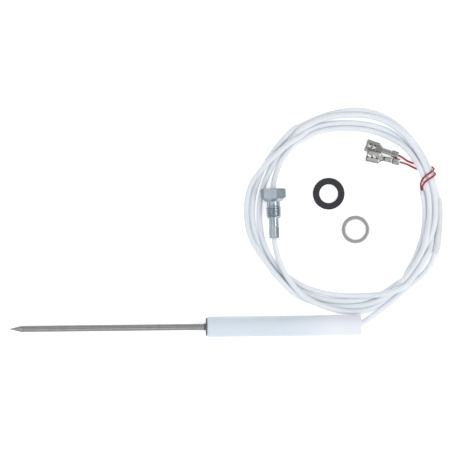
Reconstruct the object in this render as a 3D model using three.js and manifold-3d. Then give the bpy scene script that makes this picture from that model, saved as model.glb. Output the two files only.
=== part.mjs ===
// Penetration temperature probe: a pointed steel needle in a white handle, with a long cable that
// is coiled and lies on the ground, a feed-through gland on the cable, two loose sealing washers,
// and two push-on receptacles on thin red leads.
//
// Millimetres, +Z up, ground at z = 0. The pieces are laid out in a working frame whose X axis is
// the probe's axis seen from above, with x = 0 at the handle's front face. The last group shifts
// all of it, so that the part's origin is the bottom centre of the probe and its loose washers.
import * as THREE from "three";
import { mergeVertices } from "three/addons/utils/BufferGeometryUtils.js";
import Module from "manifold-3d";

const wasm = await Module();
wasm.setup();

// ---- driving dimensions ----
const FIT = 0.1; // radial or end clearance between turned pieces on one axis
const GAP = 0.3; // clearance round a cable and where two pieces meet at an angle

const NEEDLE_R = 2.0;
const NEEDLE_BORE_R = 1.5;
const NEEDLE_EXPOSED = 128; // point to collar
const TIP_CONE = 8;
const TIP_LENGTH = 9.3; // point to weld seam
const TIP_SPIGOT = 2;

const COLLAR_R = 5.95;
const COLLAR_THICKNESS = 1.0;
const FILLET_R = 2.9;
const FILLET_LENGTH = 1.3;

const HANDLE_R = 6.75;
const HANDLE_LENGTH = 100;
const HANDLE_ROUND = 1.3;
const SOCKET_DEPTH = 24; // plain bore that holds the needle
const CHAMBER_R = 4.6;
const BUSH_R = 5.2;
const BUSH_LENGTH = 12;
const MOUTH_LENGTH = 5;
const MOUTH_FLARE = 2.0; // how much wider the bell mouth is at the face

const CABLE_R = 1.85;
const CABLE_SIDES = 8;
const CORE_R = 0.45;
const LEAD_R = 0.6;
const STRANDS_R = 0.35;
const SLEEVE_R = 2.35;

const COIL_CENTRE = [89.2, 74.55];
const COIL_INNER_R = 53.6;
const COIL_OUTER_R = 65;
const COIL_HEIGHT = 7.5; // two strands high

const HEX_FLATS = 14.6;
const HEX_TURN = 16; // degrees from flat on the ground to how it lies
const GLAND_HEAD = [43.77, 89.58, 8.25]; // centre of the hexagon's outer end
const GLAND_HEADING = 0.95; // degrees off -Y
const GLAND_LENGTH = 32.4;
const HEX_LENGTH = 5.6;
const SEAT_END = 8.8; // where the cone under the hexagon meets the neck
const NECK_R = 4.4;
const THREAD_START = 11.4;
const THREAD_TURNS = 5;
const THREAD_PITCH = 1.5;
const THREAD_R = 5.0;
const THREAD_ROOT_R = 4.2;
const STEM_R = 3.15;
const SEAL_R = 3.1;
const SEAL_LENGTH = 11;

const RUBBER_WASHER = { outer: 10.35, inner: 6.1, thickness: 2.0, at: [80.2, 85.8], bevel: 0.25 };
const SEAL_RING = { outer: 9.15, inner: 6.45, thickness: 1.6, at: [97.5, 62.2], bevel: 0.5 };

const SHEET = 0.45; // receptacle sheet metal
const ROLL_GAP = 1.6;
const RECEPTACLE = { width: 7.8, height: 2.9, body: 8.6, neck: 11.9, crimp: 17.6, length: 22 };
const UPPER_RECEPTACLE = { mouth: [104.94, 117.42, 3.1], heading: -19, pitch: 0, roll: 180 };
const LOWER_RECEPTACLE = { mouth: [105.06, 110.85, 3.75], heading: -12.2, pitch: 8, roll: 11 };

const TIP_X = -(NEEDLE_EXPOSED + COLLAR_THICKNESS);
const DEGREE = Math.PI / 180;

// Routes are centre lines, as [x, y, z] points chosen by hand.
const EXIT_ROUTE = [
  [66.3, 0, 6.75], [84, 0, 6.75], [94.5, 0, 6.75], [98, 0.35, 6.7], [101, 1.3, 6.5], [103.7, 2.7, 6.2],
  [107.5, 5.5, 5.5], [111.6, 8.5, 4.6], [116.2, 12.1, 3.5], [120.9, 16.1, 2.6], [125.4, 20.2, 2.05],
  [129.4, 23.5, 1.9], [133.4, 26.3, 1.9], [136.8, 28.7, 1.9], [140.5, 31.5, 1.9], [143.8, 34.7, 1.9],
  [146.4, 38.2, 1.95], [147.9, 42, 2.1], [148.9, 45.8, 2.3], [151, 55, 2.35], [151.9, 65, 2.35],
  [151.9, 73, 2.35], [151.3, 81, 2.35], [150.6, 85.4, 2.2],
];
const SLEEVE_SPAN = [18, 23]; // points of the exit route from one end of the sleeve to the other
const GLAND_ROUTE_IN = [
  [50.7, 110.5, 4.6], [48.4, 105.6, 5.4], [46, 99.7, 6.7], [44.4, 94.6, 7.8],
];
const GLAND_ROUTE_OUT = [
  [44.7, 52.7, 7.8], [45.7, 47.6, 6.9], [47.3, 42.2, 5.6], [49.3, 37.2, 4.6],
];
const END_ROUTE = [[142.9, 70.5, 1.9], [142.8, 76, 1.9], [142.1, 82.3, 1.9], [141.1, 87.2, 1.9]];
const LEAD_UPPER_ROUTE = [
  [140.3, 87.8, 1.9], [140.0, 89.7, 2.7], [139.7, 91.7, 5.2], [140.1, 94, 7.6], [142.2, 96.6, 8.5],
  [145.8, 98.5, 8.6], [149.2, 100.4, 7.9], [150.6, 101.5, 5.2], [150.3, 102.0, 2.4], [147.8, 102.8, 0.8],
  [142.2, 103.9, 0.75], [136.3, 104.9, 0.75], [133, 106, 0.8], [130.2, 107.3, 1.1],
];
const LEAD_LOWER_ROUTE = [
  [141.6, 88.1, 1.9], [141.5, 89.9, 3.6], [141.9, 91.8, 6.8], [144, 93.9, 8.4], [147.4, 95.6, 8.5],
  [150.3, 97.2, 7.7], [151.5, 98, 5.1], [151.2, 98.5, 2.4], [148.8, 99.3, 0.8], [143.6, 100.2, 0.75],
  [138, 101.2, 0.75], [135.6, 102.3, 0.8], [133.1, 103.7, 0.9], [130.3, 105, 1.3],
];

// ---- looks ----
const LOOKS = {
  steel: { color: 0x8d8f90, roughness: 0.35, metalness: 1 },
  darkSteel: { color: 0x55565a, roughness: 0.45, metalness: 1 },
  plated: { color: 0xa9b0b8, roughness: 0.2, metalness: 1 },
  tin: { color: 0x9b9b98, roughness: 0.35, metalness: 1 },
  washerSteel: { color: 0xa6a6a2, roughness: 0.35, metalness: 1 },
  handle: { color: 0xe4ebf2, roughness: 0.5, metalness: 0 },
  cable: { color: 0xeef0f4, roughness: 0.4, metalness: 0 },
  rubber: { color: 0x303234, roughness: 0.8, metalness: 0 },
  red: { color: 0xb0283c, roughness: 0.35, metalness: 0 },
  copper: { color: 0xb87850, roughness: 0.4, metalness: 1 },
  ceramic: { color: 0xf1ede2, roughness: 0.6, metalness: 0 },
  core: { color: 0xd8d4c6, roughness: 0.5, metalness: 0 },
};

// ---- tools ----
function mesh(name, geometry, look) {
  const made = new THREE.Mesh(geometry, new THREE.MeshStandardMaterial(LOOKS[look]));
  made.name = name;
  return made;
}

// A closed triangle mesh as a solid that can be cut and joined.
function toSolid(geometry) {
  const bare = geometry.clone();
  bare.deleteAttribute("normal");
  bare.deleteAttribute("uv");
  const merged = mergeVertices(bare, 1e-4);
  return new wasm.Manifold(
    new wasm.Mesh({
      numProp: 3,
      vertProperties: merged.attributes.position.array,
      triVerts: new Uint32Array(merged.index.array),
    }),
  );
}

function toGeometry(solid) {
  const result = solid.getMesh();
  const geometry = new THREE.BufferGeometry();
  geometry.setAttribute("position", new THREE.BufferAttribute(new Float32Array(result.vertProperties), 3));
  geometry.setIndex(new THREE.BufferAttribute(new Uint32Array(result.triVerts), 1));
  return geometry;
}

function cut(geometry, cutters) {
  const left = cutters.reduce((solid, cutter) => solid.subtract(toSolid(cutter)), toSolid(geometry));
  const bodies = left.decompose();
  bodies.sort((a, b) => b.volume() - a.volume());
  return toGeometry(bodies[0]);
}

function join(geometries) {
  const [first, ...others] = geometries.map(toSolid);
  return toGeometry(others.reduce((solid, other) => solid.add(other), first));
}

// A solid of revolution about +Y. The outline is [radius, height] points, either way round, and
// closes on itself or through the axis.
function turned(outline, segments = 24) {
  const points = outline.map(([r, h]) => new THREE.Vector2(r, h));
  if (THREE.ShapeUtils.area(points) < 0) points.reverse();
  const onAxis = points.filter((p) => p.x === 0).length > 0;
  if (onAxis) {
    while (points[0].x !== 0 || points[points.length - 1].x !== 0) points.push(points.shift());
  } else {
    points.push(points[0].clone());
  }
  return new THREE.LatheGeometry(points, segments);
}

// The same about the probe's axis: the outline is [x, radius] points.
function turnedOnProbe(outline, segments = 24) {
  const geometry = turned(outline.map(([x, r]) => [r, x]), segments);
  return geometry.rotateZ(-Math.PI / 2).translate(0, 0, HANDLE_R);
}

// The same about +Z.
function turnedUpright(outline, segments = 32) {
  return turned(outline, segments).rotateX(Math.PI / 2);
}

// A plain tube wall from x = from to x = to.
function ringOnProbe(from, to, inner, outer, segments = 24) {
  return turnedOnProbe([[from, inner], [to, inner], [to, outer], [from, outer]], segments);
}

function arc(centreX, centreY, radius, fromDeg, toDeg, steps) {
  return Array.from({ length: steps + 1 }, (_, i) => {
    const angle = (fromDeg + ((toDeg - fromDeg) * i) / steps) * DEGREE;
    return [centreX + radius * Math.cos(angle), centreY + radius * Math.sin(angle)];
  });
}

function curveOf(route) {
  return new THREE.CatmullRomCurve3(route.map((p) => new THREE.Vector3(...p)), false, "centripetal");
}

// A round rod along a route, with a step every two or three diameters.
function rod(route, radius, stepLength = radius * 4.5) {
  const curve = curveOf(route);
  const steps = Math.max(2, Math.round(curve.getLength() / stepLength));
  const corners = Array.from({ length: CABLE_SIDES }, (_, i) => {
    const angle = ((i + 0.5) * 2 * Math.PI) / CABLE_SIDES;
    return new THREE.Vector2(radius * Math.cos(angle), radius * Math.sin(angle));
  });
  const section = new THREE.Shape(corners);
  return new THREE.ExtrudeGeometry(section, { steps, extrudePath: curve, bevelEnabled: false });
}

function block(size, centre) {
  return new THREE.BoxGeometry(...size).translate(...centre);
}

// ---- needle ----
function needleTip() {
  const cone = TIP_X + TIP_CONE;
  const seam = TIP_X + TIP_LENGTH;
  return turnedOnProbe([
    [TIP_X, 0], [TIP_X + 0.15, 0.2], [cone, NEEDLE_R], [seam, NEEDLE_R],
    [seam, NEEDLE_BORE_R - FIT], [seam + TIP_SPIGOT, NEEDLE_BORE_R - FIT], [seam + TIP_SPIGOT, 0],
  ]);
}

function needleTube() {
  const start = TIP_X + TIP_LENGTH + FIT;
  return ringOnProbe(start, SOCKET_DEPTH + 6, NEEDLE_BORE_R, NEEDLE_R);
}

function sensorElement() {
  const start = TIP_X + TIP_LENGTH + TIP_SPIGOT + GAP;
  return turnedOnProbe([[start, 0], [start, 1.1], [start + 5, 1.1], [start + 5, 0]], 12);
}

// One of the two insulated wires from the sensing element to a splice.
function sensorWire(side) {
  const start = TIP_X + TIP_LENGTH + TIP_SPIGOT + 5 + 2 * GAP;
  const route = [
    [start, 0.68 * side, HANDLE_R], [-60, 0.68 * side, HANDLE_R], [0, 0.68 * side, HANDLE_R],
    [SOCKET_DEPTH + 6, 0.68 * side, HANDLE_R], [37, 1.9 * side, HANDLE_R], [46, 2.0 * side, HANDLE_R],
  ];
  return rod(route, CORE_R, 8);
}

// ---- handle ----
function frontCollar() {
  const front = -COLLAR_THICKNESS;
  return turnedOnProbe([
    [front - FILLET_LENGTH, NEEDLE_R + FIT], [front - FILLET_LENGTH, NEEDLE_R + 2 * FIT],
    [front - FILLET_LENGTH / 3, FILLET_R], [front, FILLET_R + 0.8], [front + 0.45, COLLAR_R - 0.5],
    [front + 0.75, COLLAR_R], [-FIT, COLLAR_R], [-FIT, NEEDLE_R + FIT],
  ], 32);
}

function needleAnchor() {
  return ringOnProbe(SOCKET_DEPTH + FIT, SOCKET_DEPTH + 3, NEEDLE_R + FIT, CHAMBER_R - GAP);
}

function handleBody() {
  const bushSeat = HANDLE_LENGTH - BUSH_LENGTH - FIT;
  return turnedOnProbe([
    [0, NEEDLE_R + FIT],
    ...arc(HANDLE_ROUND, HANDLE_R - HANDLE_ROUND, HANDLE_ROUND, 180, 90, 4),
    [HANDLE_LENGTH - 0.3, HANDLE_R], [HANDLE_LENGTH, HANDLE_R - 0.3], [HANDLE_LENGTH, BUSH_R + FIT],
    [bushSeat, BUSH_R + FIT], [bushSeat, CHAMBER_R], [SOCKET_DEPTH, CHAMBER_R], [SOCKET_DEPTH, NEEDLE_R + FIT],
  ], 32);
}

// The bush's bore opens to a bell mouth, so that the cable bends gently where it comes out.
function rearBush() {
  const front = HANDLE_LENGTH - BUSH_LENGTH;
  const bore = CABLE_R + GAP;
  return turnedOnProbe([
    [front, bore], [HANDLE_LENGTH - MOUTH_LENGTH, bore], [HANDLE_LENGTH - FIT, bore + MOUTH_FLARE],
    [HANDLE_LENGTH - FIT, BUSH_R], [front, BUSH_R],
  ]);
}

function cableClamp() {
  return ringOnProbe(79, 85, CABLE_R + GAP, CHAMBER_R - 2 * GAP);
}

// A crimped butt joint between a sensor wire and a cable core.
function splice(side) {
  return ringOnProbe(42.5, 50.5, CORE_R + GAP, 1.3, 16).translate(0, 2.0 * side, 0);
}

function cableCore(side) {
  const route = [
    [47, 2.0 * side, HANDLE_R], [54, 1.9 * side, HANDLE_R], [61, 0.85 * side, HANDLE_R],
    [EXIT_ROUTE[0][0] - GAP, 0.8 * side, HANDLE_R],
  ];
  return rod(route, CORE_R, 3);
}

// ---- cable ----
function glandPoint(along, z = GLAND_HEAD[2]) {
  const heading = GLAND_HEADING * DEGREE;
  return [GLAND_HEAD[0] + along * Math.sin(heading), GLAND_HEAD[1] - along * Math.cos(heading), z];
}

const GLAND_ROUTE = [
  ...GLAND_ROUTE_IN, ...[-1.5, 8, 16, 24, GLAND_LENGTH + 1.5].map((along) => glandPoint(along)),
  ...GLAND_ROUTE_OUT,
];

// Cutters leave room for the pieces that run along, through or round the coil.
function cableCoil() {
  const half = COIL_HEIGHT / 2;
  const round = 1.5;
  const ring = turnedUpright([
    [COIL_INNER_R, round], [COIL_INNER_R + round, 0], [COIL_OUTER_R - round, 0], [COIL_OUTER_R, round],
    [COIL_OUTER_R, 2 * half - round], [COIL_OUTER_R - round, 2 * half],
    [COIL_INNER_R + round, 2 * half], [COIL_INNER_R, 2 * half - round],
  ], 48).translate(...COIL_CENTRE, 0);
  const hexRoom = turned([[0, 1], [HEX_FLATS / Math.sqrt(3) + GAP, 1], [HEX_FLATS / Math.sqrt(3) + GAP, -7],
    [NECK_R, -9.5], [0, -9.5]], 16);
  return cut(ring, [
    rod(EXIT_ROUTE, CABLE_R + GAP, 8),
    rod(EXIT_ROUTE.slice(SLEEVE_SPAN[0] - 1), SLEEVE_R + GAP, 8),
    rod(GLAND_ROUTE, CABLE_R + GAP, 8),
    rod([[143, 66, 1.9], ...END_ROUTE, [140.4, 89.8, 2.4]], CABLE_R + 2 * GAP, 8),
    rod(LEAD_UPPER_ROUTE, LEAD_R + GAP, 2.7),
    rod(LEAD_LOWER_ROUTE, LEAD_R + GAP, 2.7),
    placeGland(hexRoom),
  ]);
}

function cableSleeve() {
  return cut(rod(EXIT_ROUTE.slice(...SLEEVE_SPAN), SLEEVE_R, 4), [rod(EXIT_ROUTE, CABLE_R + 1.5 * FIT, 8)]);
}

// ---- gland ----
function placeGland(geometry) {
  return geometry.rotateZ(GLAND_HEADING * DEGREE).translate(...GLAND_HEAD);
}

function hexHead() {
  const corner = HEX_FLATS / Math.sqrt(3);
  const corners = Array.from({ length: 6 }, (_, i) => {
    const angle = (HEX_TURN + 60 * i) * DEGREE;
    return new THREE.Vector2(corner * Math.cos(angle), corner * Math.sin(angle));
  });
  const prism = new THREE.ExtrudeGeometry(new THREE.Shape(corners), { depth: SEAT_END, bevelEnabled: false });
  prism.rotateX(Math.PI / 2); // the section's Y becomes Z, and its depth runs along -Y
  const envelope = turned([
    [0, 0], [corner - 0.7, 0], [corner + 0.2, -0.5], [corner + 0.2, -HEX_LENGTH + 0.15],
    [NECK_R, -SEAT_END], [0, -SEAT_END],
  ], 36);
  return toGeometry(toSolid(prism).intersect(toSolid(envelope)));
}

function glandShank() {
  const ridges = Array.from({ length: THREAD_TURNS }, (_, i) => {
    const top = -THREAD_START - i * THREAD_PITCH;
    return [[THREAD_ROOT_R, top], [THREAD_R, top - 0.6], [THREAD_R, top - 0.9]];
  }).flat();
  const threadEnd = -THREAD_START - THREAD_TURNS * THREAD_PITCH;
  return turned([
    [0, -4], [NECK_R, -4], [NECK_R, -THREAD_START], ...ridges,
    [THREAD_ROOT_R, threadEnd], [THREAD_ROOT_R, threadEnd - 0.6], [STEM_R, threadEnd - 0.6],
    [STEM_R, -24.6], [STEM_R - 0.15, -25.1], [STEM_R, -25.6], [STEM_R + 0.05, -GLAND_LENGTH + 0.3],
    [STEM_R - 0.3, -GLAND_LENGTH], [0, -GLAND_LENGTH],
  ], 24);
}

function glandBody() {
  const bore = turned([
    [0, 1], [SEAL_R + FIT, 1], [SEAL_R + FIT, -SEAL_LENGTH - 1], [CABLE_R + GAP, -SEAL_LENGTH - 1],
    [CABLE_R + GAP, -GLAND_LENGTH - 1], [0, -GLAND_LENGTH - 1],
  ]);
  return placeGland(cut(join([hexHead(), glandShank()]), [bore]));
}

function glandSeal() {
  const seal = turned([
    [CABLE_R + GAP, -0.6], [SEAL_R, -0.6], [SEAL_R, -SEAL_LENGTH], [CABLE_R + GAP, -SEAL_LENGTH],
  ]);
  return placeGland(seal);
}

// ---- washers ----
function washer({ outer, inner, thickness, at, bevel }) {
  return turnedUpright([
    [inner, bevel], [inner + bevel, 0], [outer - bevel, 0], [outer, bevel], [outer, thickness - bevel],
    [outer - bevel, thickness], [inner + bevel, thickness], [inner, thickness - bevel],
  ], 40).translate(...at, 0);
}

// ---- receptacles ----
// Built along +X from the mouth, with its floor on z = 0 and the rolls on top.
function receptacle() {
  const { width, height, body, neck, crimp, length } = RECEPTACLE;
  const half = width / 2;
  const rollR = height / 2;
  const tip = ROLL_GAP / 2;
  const side = [
    [half - rollR, 0], ...arc(half - rollR, rollR, rollR, -60, 90, 5), [tip, height],
    [tip, SHEET + 1.0], [tip + SHEET, SHEET + 1.0], [tip + SHEET, height - SHEET],
    ...arc(half - rollR, rollR, rollR - SHEET, 90, -60, 5), [half - rollR, SHEET],
  ];
  const mirrored = side.map(([y, z]) => [-y, z]).reverse();
  const section = new THREE.Shape([...side, ...mirrored].map(([y, z]) => new THREE.Vector2(y, z)));
  const shell = new THREE.ExtrudeGeometry(section, { depth: body, bevelEnabled: false });
  shell.rotateX(Math.PI / 2).rotateZ(Math.PI / 2);
  // Each window is cut in three parts, the middle ones first, so the contact strip keeps its own face.
  const windows = [[1.6, 0], [0.8, 1.1], [0.8, -1.1]].flatMap(([across, y]) => (
    [2.4, 5.7].map((x) => block([1.3, across, 3 * SHEET], [x, y, SHEET / 2]))
  ));
  const flange = new THREE.Shape([
    [body - 0.4, -half + rollR], [neck, -1.3], [neck + 0.5, -1.3], [neck + 0.5, 1.3], [neck, 1.3],
    [body - 0.4, half - rollR],
  ].map(([x, y]) => new THREE.Vector2(x, y)));
  const taper = new THREE.ExtrudeGeometry(flange, { depth: SHEET, bevelEnabled: false });
  return join([
    cut(shell, windows), taper, barrel(neck, crimp - 0.5, 1.35, 2.1), barrel(crimp, length, 1.95, 3.0),
    block([1.2, 1.6, SHEET], [crimp - 0.25, 0, SHEET / 2]),
  ]);
}

// A crimp barrel: an open tube with a seam along its top.
function barrel(from, to, outerR, height) {
  const squash = height / (2 * outerR);
  const outline = [
    ...arc(0, 0, outerR, 100, 440, 14),
    ...arc(0, 0, outerR - SHEET, 440, 100, 14),
  ].map(([y, z]) => new THREE.Vector2(y, (z + outerR) * squash));
  const wall = new THREE.ExtrudeGeometry(new THREE.Shape(outline), { depth: to - from, bevelEnabled: false });
  return wall.rotateX(Math.PI / 2).rotateZ(Math.PI / 2).translate(from, 0, 0);
}

function receptacleMatrix({ mouth, heading, pitch, roll }) {
  const turn = new THREE.Euler(roll * DEGREE, pitch * DEGREE, heading * DEGREE, "ZYX");
  return new THREE.Matrix4().makeRotationFromEuler(turn).setPosition(...mouth);
}

// A point of a receptacle, given in its own frame, as a route point.
function onReceptacle(place, x, z) {
  return new THREE.Vector3(x, 0, z).applyMatrix4(receptacleMatrix(place)).toArray();
}

function leadInto(place, route) {
  const { length, crimp } = RECEPTACLE;
  return rod([...route, onReceptacle(place, length + 1, 1.5), onReceptacle(place, crimp + 0.6, 1.5)], LEAD_R, 2.7);
}

function strands(place) {
  const { neck, crimp } = RECEPTACLE;
  return rod([onReceptacle(place, neck + 0.3, 1.05), onReceptacle(place, (neck + crimp) / 2, 1.05),
    onReceptacle(place, crimp + 0.3, 1.3)], STRANDS_R, 2);
}

// ---- assembly ----
const part = new THREE.Group();
part.add(
  mesh("needle_tip", needleTip(), "steel"),
  mesh("needle_tube", needleTube(), "steel"),
  mesh("needle_anchor", needleAnchor(), "steel"),
  mesh("sensor_element", sensorElement(), "ceramic"),
  mesh("front_collar", frontCollar(), "darkSteel"),
  mesh("handle_body", handleBody(), "handle"),
  mesh("rear_bush", rearBush(), "handle"),
  mesh("cable_clamp", cableClamp(), "tin"),
  mesh("cable_exit_run", rod(EXIT_ROUTE, CABLE_R, 8), "cable"),
  mesh("cable_sleeve", cableSleeve(), "cable"),
  mesh("cable_coil", cableCoil(), "cable"),
  mesh("cable_gland_run", rod(GLAND_ROUTE, CABLE_R, 8), "cable"),
  mesh("cable_end_run", rod(END_ROUTE, CABLE_R, 8), "cable"),
  mesh("gland_body", glandBody(), "plated"),
  mesh("gland_seal", glandSeal(), "cable"),
  mesh("rubber_washer", washer(RUBBER_WASHER), "rubber"),
  mesh("seal_ring", washer(SEAL_RING), "washerSteel"),
);
for (const [letter, side] of [["a", 1], ["b", -1]]) {
  part.add(
    mesh(`sensor_wire_${letter}`, sensorWire(side), "core"),
    mesh(`splice_${letter}`, splice(side), "tin"),
    mesh(`cable_core_${letter}`, cableCore(side), "core"),
  );
}
for (const [level, place, route] of [
  ["upper", UPPER_RECEPTACLE, LEAD_UPPER_ROUTE],
  ["lower", LOWER_RECEPTACLE, LEAD_LOWER_ROUTE],
]) {
  part.add(
    mesh(`receptacle_${level}`, receptacle().applyMatrix4(receptacleMatrix(place)), "tin"),
    mesh(`red_lead_${level}`, leadInto(place, route), "red"),
    mesh(`lead_strands_${level}`, strands(place), "copper"),
  );
}

// The box of the probe and its loose washers runs from the needle's point to the seal ring's far side
// along X, and from the handle's near side to the rubber washer's far side along Y.
const farX = SEAL_RING.at[0] + SEAL_RING.outer;
const farY = RUBBER_WASHER.at[1] + RUBBER_WASHER.outer;
part.position.set(-(TIP_X + farX) / 2, -(farY - HANDLE_R) / 2, 0);
const group = new THREE.Group();
group.add(part);
export default group;
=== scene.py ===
import math

import bmesh
import bpy
import numpy as np
from mathutils import Matrix, Vector


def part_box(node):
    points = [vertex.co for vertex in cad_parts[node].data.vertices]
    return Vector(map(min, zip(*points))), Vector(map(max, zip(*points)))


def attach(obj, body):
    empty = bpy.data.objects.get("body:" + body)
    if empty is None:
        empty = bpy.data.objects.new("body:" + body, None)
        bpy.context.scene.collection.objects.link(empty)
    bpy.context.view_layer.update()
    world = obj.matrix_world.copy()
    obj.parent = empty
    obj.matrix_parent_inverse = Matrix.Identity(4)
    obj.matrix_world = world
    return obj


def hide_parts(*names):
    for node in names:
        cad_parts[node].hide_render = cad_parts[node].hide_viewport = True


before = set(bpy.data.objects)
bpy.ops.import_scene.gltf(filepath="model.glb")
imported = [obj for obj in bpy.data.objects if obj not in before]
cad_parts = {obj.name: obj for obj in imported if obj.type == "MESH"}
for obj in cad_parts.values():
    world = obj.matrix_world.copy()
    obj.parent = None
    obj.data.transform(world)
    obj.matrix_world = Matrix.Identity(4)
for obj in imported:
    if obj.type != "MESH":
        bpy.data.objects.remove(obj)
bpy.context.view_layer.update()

# The looks of a penetration temperature probe, built round its CAD model. Shapes are worked out in
# millimetres in the CAD's working frame: x = 0 at the handle's front face on the probe's axis, y = 0
# on that axis, z = 0 on the ground. They go into the model's frame, in metres, as each mesh is made.
MM = 0.001
HANDLE_LOW, HANDLE_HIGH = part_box("handle_body")
WORKING_ORIGIN = np.array([HANDLE_LOW.x, (HANDLE_LOW.y + HANDLE_HIGH.y) / 2, 0])

# ---- dimensions, mm ----
FIT = 0.1
HANDLE_R = 6.75
HANDLE_LENGTH = 100
HANDLE_ROUND = 1.3
SOCKET_DEPTH = 24
CHAMBER_R = 4.6
BUSH_R = 5.2
BUSH_LENGTH = 12
MOUTH_LENGTH = 5
MOUTH_FLARE = 2.0

NEEDLE_R = 2.0
NEEDLE_BORE_R = 1.5
TIP_X = -129
TIP_CONE = 8
TIP_LENGTH = 9.3
NEEDLE_END = 30

COLLAR_R = 5.95
COLLAR_THICKNESS = 1.0
FILLET_R = 2.3
FILLET_LENGTH = 1.3

CABLE_R = 1.85
CABLE_BORE_R = 1.35
LEAD_R = 0.6
SLEEVE_R = 2.35

HEX_FLATS = 14.6
HEX_TURN = 16
HEX_LENGTH = 5.6
GLAND_HEAD = (43.77, 89.58, 8.25)
GLAND_HEADING = 0.95
GLAND_LENGTH = 32.4
SEAT_END = 8.8
SEAT_R = 5.6
NECK_R = 4.4
THREAD_START = 11.4
THREAD_END = 18.9
THREAD_PITCH = 1.5
THREAD_R = 5.0
THREAD_ROOT_R = 4.2
STEM_R = 3.15
CRIMP_START = 24.9
SEAL_R = 3.1
SEAL_LENGTH = 11
BORE_R = 2.15

RUBBER_WASHER = {"outer": 10.35, "inner": 6.1, "thickness": 2.0, "at": (80.2, 85.8), "bevel": 0.3,
                 "steepness": 1.0}
SEAL_RING = {"outer": 9.15, "inner": 6.45, "thickness": 1.6, "at": (97.5, 62.2), "bevel": 0.4,
             "steepness": 1.6}

SHEET = 0.42
RECEPTACLE_BODY = 8.6
RECEPTACLE_NECK = 11.9
RECEPTACLE_CRIMP = 17.6
RECEPTACLE_LENGTH = 22
UPPER_PLACE = {"mouth": (104.94, 117.42, 3.1), "heading": -19, "pitch": 0, "roll": 180}
LOWER_PLACE = {"mouth": (105.06, 110.85, 3.75), "heading": -12.2, "pitch": 8, "roll": 11}

# ---- camera ----
VIEW_CENTRE = Vector((24.08, 20.78, 0)) * MM
VIEW_WIDTH = 295.4 * MM
VIEW_TURN = math.radians(-0.65)
CAMERA_HEIGHT = 1.5
SENSOR_WIDTH = 36

camera_data = bpy.data.cameras.new("camera")
camera_data.sensor_width = SENSOR_WIDTH
camera_data.lens = SENSOR_WIDTH * CAMERA_HEIGHT / VIEW_WIDTH
camera_data.clip_end = 20
camera = bpy.data.objects.new("camera", camera_data)
camera.location = VIEW_CENTRE + Vector((0, 0, CAMERA_HEIGHT))
camera.rotation_euler = (0, 0, VIEW_TURN)
bpy.context.scene.collection.objects.link(camera)
bpy.context.scene.camera = camera

# ---- cord routes, mm ----
EXIT_ROUTE = [
    (66.3, 0, 6.75), (84, 0, 6.75), (94.5, 0, 6.75), (98, 0.35, 6.7), (101, 1.3, 6.5), (103.7, 2.7, 6.2),
    (107.5, 5.5, 5.5), (111.6, 8.5, 4.6), (116.2, 12.1, 3.5), (120.9, 16.1, 2.6), (125.4, 20.2, 2.05),
    (129.4, 23.5, 1.9), (133.4, 26.3, 1.9), (136.8, 28.7, 1.9), (140.5, 31.5, 1.9), (143.8, 34.7, 1.9),
    (146.4, 38.2, 1.95), (147.9, 42, 2.1), (148.9, 45.8, 2.3), (151, 55, 2.35), (151.9, 65, 2.35),
    (151.9, 73, 2.35), (151.3, 81, 2.35), (150.6, 85.4, 2.2),
]
OUT_OF_HANDLE = (101, 1.3)  # from here on the cable is free to move
SLEEVE_START = (148.9, 45.8)
SLEEVE_END = (151.3, 81)
GLAND_ROUTE_IN = [(50.7, 110.5, 4.6), (48.4, 105.6, 5.4), (46, 99.7, 6.7), (44.4, 94.6, 7.8)]
GLAND_ROUTE_OUT = [(44.7, 52.7, 7.8), (45.7, 47.6, 6.9), (47.3, 42.2, 5.6), (49.3, 37.2, 4.6)]
END_ROUTE = [(142.9, 70.5, 1.9), (142.8, 76, 1.9), (142.1, 82.3, 1.9), (141.1, 87.2, 1.9)]
LEAD_UPPER_ROUTE = [
    (140.6, 87.9, 1.5), (140.3, 89.7, 2.5), (139.9, 91.7, 5.2), (140.2, 94, 7.6), (142.2, 96.6, 8.5),
    (145.8, 98.5, 8.6), (148.6, 100.2, 7.9), (149.9, 101.3, 5.2), (149.2, 101.9, 2.4), (147.2, 102.8, 0.8),
    (142.2, 103.9, 0.75), (136.3, 104.9, 0.75), (133, 106, 0.8), (130.2, 107.3, 1.1),
]
LEAD_LOWER_ROUTE = [
    (141.3, 88.1, 2.3), (141.2, 89.9, 3.7), (141.6, 91.8, 6.8), (143.8, 93.9, 8.4), (147.2, 95.6, 8.5),
    (149.7, 97.0, 7.7), (150.7, 97.9, 5.1), (150.0, 98.5, 2.4), (148.2, 99.3, 0.8), (143.6, 100.2, 0.75),
    (138, 101.2, 0.75), (135.6, 102.3, 0.8), (133.1, 103.7, 0.9), (130.3, 105, 1.3),
]
UNDER_COIL = (134, 145.5)  # where the leads lie under the coil: from x to x

# The coil's turns, counter-clockwise from +X: each turn's distance from the centre every 15 degrees.
COIL_CENTRE = (89.5, 73.8)
STATION = 15
FIRST_TURN = [
    62.3, 61.8, 63.2, 65.0, 67.1, 67.3, 65.4, 63.4, 61.6, 60.3, 59.8, 59.7,
    59.5, 59.7, 59.5, 59.3, 58.8, 58.7, 58.7, 58.8, 59.5, 59.5, 59.2, 59.2,
]
SECOND_TURN = [
    59.5, 60.1, 61.1, 63.4, 65.4, 65.4, 63.4, 62.1, 59.5, 56.9, 55.0, 54.9,
    54.9, 55.6, 56.9, 56.7, 55.4, 54.4, 54.9, 56.7, 60.8, 61.4, 60.8, 59.5,
]
THIRD_TURN = [
    58.8, 58.5, 58.2, 59.5, 60.1, 58.8, 57.5, 57.8, 57.5, 57.2, 59.5, 62.9,
    63.4, 62.4, 60.2, 60.4, 61.9, 62.2, 61.8, 62.7, 61.4, 58.8, 57.8, 57.1,
]
FOURTH_TURN = [57.2, 57.4, 57.4, 58.5, 57.5, 55.9, 55.2, 55.6, 55.4, 53.8]  # as far as the gland
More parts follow.
